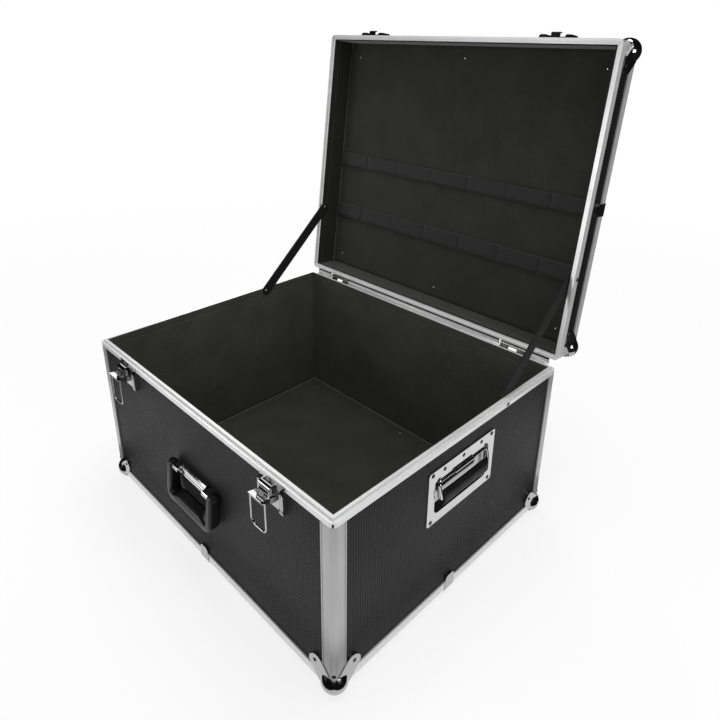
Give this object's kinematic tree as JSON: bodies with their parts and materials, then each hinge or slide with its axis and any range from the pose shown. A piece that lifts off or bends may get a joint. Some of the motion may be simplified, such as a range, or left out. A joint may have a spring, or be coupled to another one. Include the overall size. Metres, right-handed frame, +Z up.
{
  "type": "transport case",
  "caption": "Aluminium-edged transport case with a hinged lid, ball corners, toggle latches, a front carry handle, drop handles on the ends, webbing lid stays and a felt lining",
  "frame": {"origin": "centre of the footprint on the plane that the four lower ball corners stand on", "axes": "+X to the right along the front, +Y from the front to the hinged back, +Z up"},
  "size_m": [0.62, 0.645, 0.791],
  "materials": {
    "panel_laminate": "plywood faced with black dimpled laminate",
    "felt": "black felt",
    "elastic": "ribbed black elastic",
    "webbing": "woven webbing",
    "rim_aluminium": "satin",
    "edge_aluminium": "satin",
    "chrome": "polished",
    "steel": "plated",
    "black_plastic": "satin",
    "grip_rubber": "matt"
  },
  "bodies": {
    "base": {"base_ball_corners": "chrome", "base_bottom_edges": "edge_aluminium", "base_corner_posts": "edge_aluminium", "base_edge_clips": "chrome", "base_liner_floor": "felt", "base_liner_walls": "felt", "base_panel_back": "panel_laminate", "base_panel_bottom": "panel_laminate", "base_panel_front": "panel_laminate", "base_panel_left": "panel_laminate", "base_panel_right": "panel_laminate", "base_rim": "rim_aluminium", "front_handle_bracket": "chrome", "front_handle_pins": "steel", "hinge_base_leaves": "steel", "hinge_pins": "steel", "latch_left_body": "chrome", "latch_left_pin": "steel", "latch_right_body": "chrome", "latch_right_pin": "steel", "side_handle_left_dish": "chrome", "side_handle_left_plate": "chrome", "side_handle_right_dish": "chrome", "side_handle_right_plate": "chrome", "strap_left": "webbing", "strap_right": "webbing"},
    "lid": {"elastic_band_lower": "elastic", "elastic_band_upper": "elastic", "hinge_lid_leaves": "steel", "latch_left_keeper": "chrome", "latch_right_keeper": "chrome", "lid_ball_corners": "chrome", "lid_corner_posts": "edge_aluminium", "lid_edge_clips": "chrome", "lid_liner_top": "felt", "lid_liner_walls": "felt", "lid_outer_edges": "edge_aluminium", "lid_panel_back": "panel_laminate", "lid_panel_front": "panel_laminate", "lid_panel_left": "panel_laminate", "lid_panel_right": "panel_laminate", "lid_panel_top": "panel_laminate", "lid_rim": "rim_aluminium"},
    "front_handle": {"front_handle_grip": "black_plastic"},
    "latch_left_bail": {"latch_left_bail": "chrome"},
    "latch_left_lever": {"latch_left_lever": "chrome"},
    "latch_right_bail": {"latch_right_bail": "chrome"},
    "latch_right_lever": {"latch_right_lever": "chrome"},
    "side_handle_left": {"side_handle_left_bail": "chrome", "side_handle_left_grip": "grip_rubber"},
    "side_handle_right": {"side_handle_right_bail": "chrome", "side_handle_right_grip": "grip_rubber"}
  },
  "joints": [
    {"name": "lid_hinge", "type": "hinge", "parent": "base", "child": "lid", "pos_m": [0, 0.251, 0.29], "axis": [1, 0, 0], "range_deg": [0, 97], "deforming": ["strap_left", "strap_right"]},
    {"name": "latch_left_lever_pivot", "type": "hinge", "parent": "base", "child": "latch_left_lever", "pos_m": [-0.192, -0.253, 0.264], "axis": [1, 0, 0], "range_deg": [0, 110]},
    {"name": "latch_left_bail_pivot", "type": "hinge", "parent": "latch_left_lever", "child": "latch_left_bail", "pos_m": [-0.192, -0.26865, 0.26733], "axis": [1, 0, 0], "range_deg": [-290, 0]},
    {"name": "latch_right_lever_pivot", "type": "hinge", "parent": "base", "child": "latch_right_lever", "pos_m": [0.192, -0.253, 0.264], "axis": [1, 0, 0], "range_deg": [0, 110]},
    {"name": "latch_right_bail_pivot", "type": "hinge", "parent": "latch_right_lever", "child": "latch_right_bail", "pos_m": [0.192, -0.26865, 0.26733], "axis": [1, 0, 0], "range_deg": [-290, 0]},
    {"name": "front_handle_pivot", "type": "hinge", "parent": "base", "child": "front_handle", "pos_m": [0, -0.253, 0.168], "axis": [-1, 0, 0], "range_deg": [0, 100]},
    {"name": "side_handle_right_pivot", "type": "hinge", "parent": "base", "child": "side_handle_right", "pos_m": [0.3005, 0, 0.231], "axis": [0, -1, 0], "range_deg": [0, 90]},
    {"name": "side_handle_left_pivot", "type": "hinge", "parent": "base", "child": "side_handle_left", "pos_m": [-0.3005, 0, 0.231], "axis": [0, 1, 0], "range_deg": [0, 90]}
  ],
  "couplings": [
    {"joint": "latch_left_bail_pivot", "follows": "latch_left_lever_pivot", "ratio": -2.6364},
    {"joint": "latch_right_bail_pivot", "follows": "latch_right_lever_pivot", "ratio": -2.6364}
  ]
}
